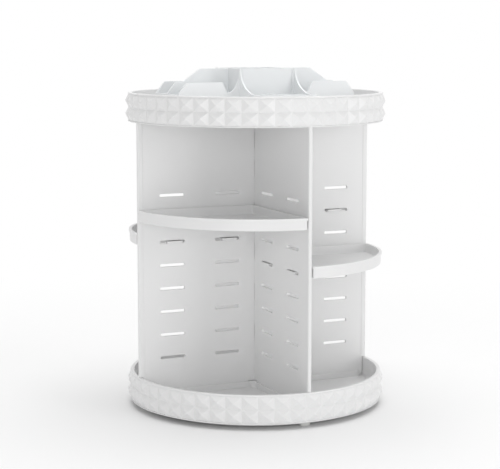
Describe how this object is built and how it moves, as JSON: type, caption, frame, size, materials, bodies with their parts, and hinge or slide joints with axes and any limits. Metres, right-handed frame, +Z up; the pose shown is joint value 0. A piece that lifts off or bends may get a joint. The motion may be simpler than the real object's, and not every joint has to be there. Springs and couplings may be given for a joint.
{
  "type": "revolving cosmetics organizer",
  "caption": "Revolving round cosmetics tower: studded base and top trays, slotted cross partitions with hook-in quarter shelves, and a lift-out divider with brush cups on top.",
  "frame": {"origin": "on the table, under the middle of the carousel", "axes": "+Z up along the axle; the long partition lies along X; the front wing partition points to -Y"},
  "size_m": [0.2298, 0.2298, 0.299],
  "materials": {
    "white_abs": "glossy moulded white",
    "frosted_plastic": "frosted translucent",
    "soft_foot": "matt pale silicone",
    "slip_ring": "natural slippery plastic",
    "zinc_steel": "zinc plated"
  },
  "bodies": {
    "base": {"base_plate": "white_abs", "foot_pad_1": "soft_foot", "foot_pad_2": "soft_foot", "foot_pad_3": "soft_foot", "foot_pad_4": "soft_foot", "glide_ring": "slip_ring", "pivot_bush": "slip_ring"},
    "carousel": {"base_tray": "white_abs", "pivot_screw": "zinc_steel", "retaining_washer": "zinc_steel", "long_partition": "white_abs", "front_wing_partition": "white_abs", "rear_wing_partition": "white_abs"},
    "shelf_rear_right": {"shelf_rear_right": "white_abs"},
    "shelf_rear_left": {"shelf_rear_left": "white_abs"},
    "shelf_front_left": {"shelf_front_left": "white_abs"},
    "shelf_front_right": {"shelf_front_right": "white_abs"},
    "top_tray": {"top_tray": "white_abs"},
    "divider_insert": {"divider_insert": "frosted_plastic"},
    "brush_block": {"brush_block": "frosted_plastic"}
  },
  "joints": [
    {"name": "carousel_spin", "type": "hinge", "parent": "base", "child": "carousel", "pos_m": [0, 0, 0.01], "axis": [0, 0, 1], "continuous": true},
    {"name": "shelf_rear_right_pull_out", "type": "slide", "parent": "carousel", "child": "shelf_rear_right", "axis": [0.7071, 0.7071, 0], "range_m": [0, 0.06]},
    {"name": "shelf_rear_left_pull_out", "type": "slide", "parent": "carousel", "child": "shelf_rear_left", "axis": [-0.7071, 0.7071, 0], "range_m": [0, 0.06]},
    {"name": "shelf_front_left_pull_out", "type": "slide", "parent": "carousel", "child": "shelf_front_left", "axis": [-0.7071, -0.7071, 0], "range_m": [0, 0.06]},
    {"name": "shelf_front_right_pull_out", "type": "slide", "parent": "carousel", "child": "shelf_front_right", "axis": [0.7071, -0.7071, 0], "range_m": [0, 0.06]},
    {"name": "top_tray_lift", "type": "slide", "parent": "carousel", "child": "top_tray", "axis": [0, 0, 1], "range_m": [0, 0.04]},
    {"name": "divider_insert_lift", "type": "slide", "parent": "top_tray", "child": "divider_insert", "axis": [0, 0, 1], "range_m": [0, 0.05]},
    {"name": "brush_block_lift", "type": "slide", "parent": "divider_insert", "child": "brush_block", "axis": [0, 0, 1], "range_m": [0, 0.05]}
  ]
}
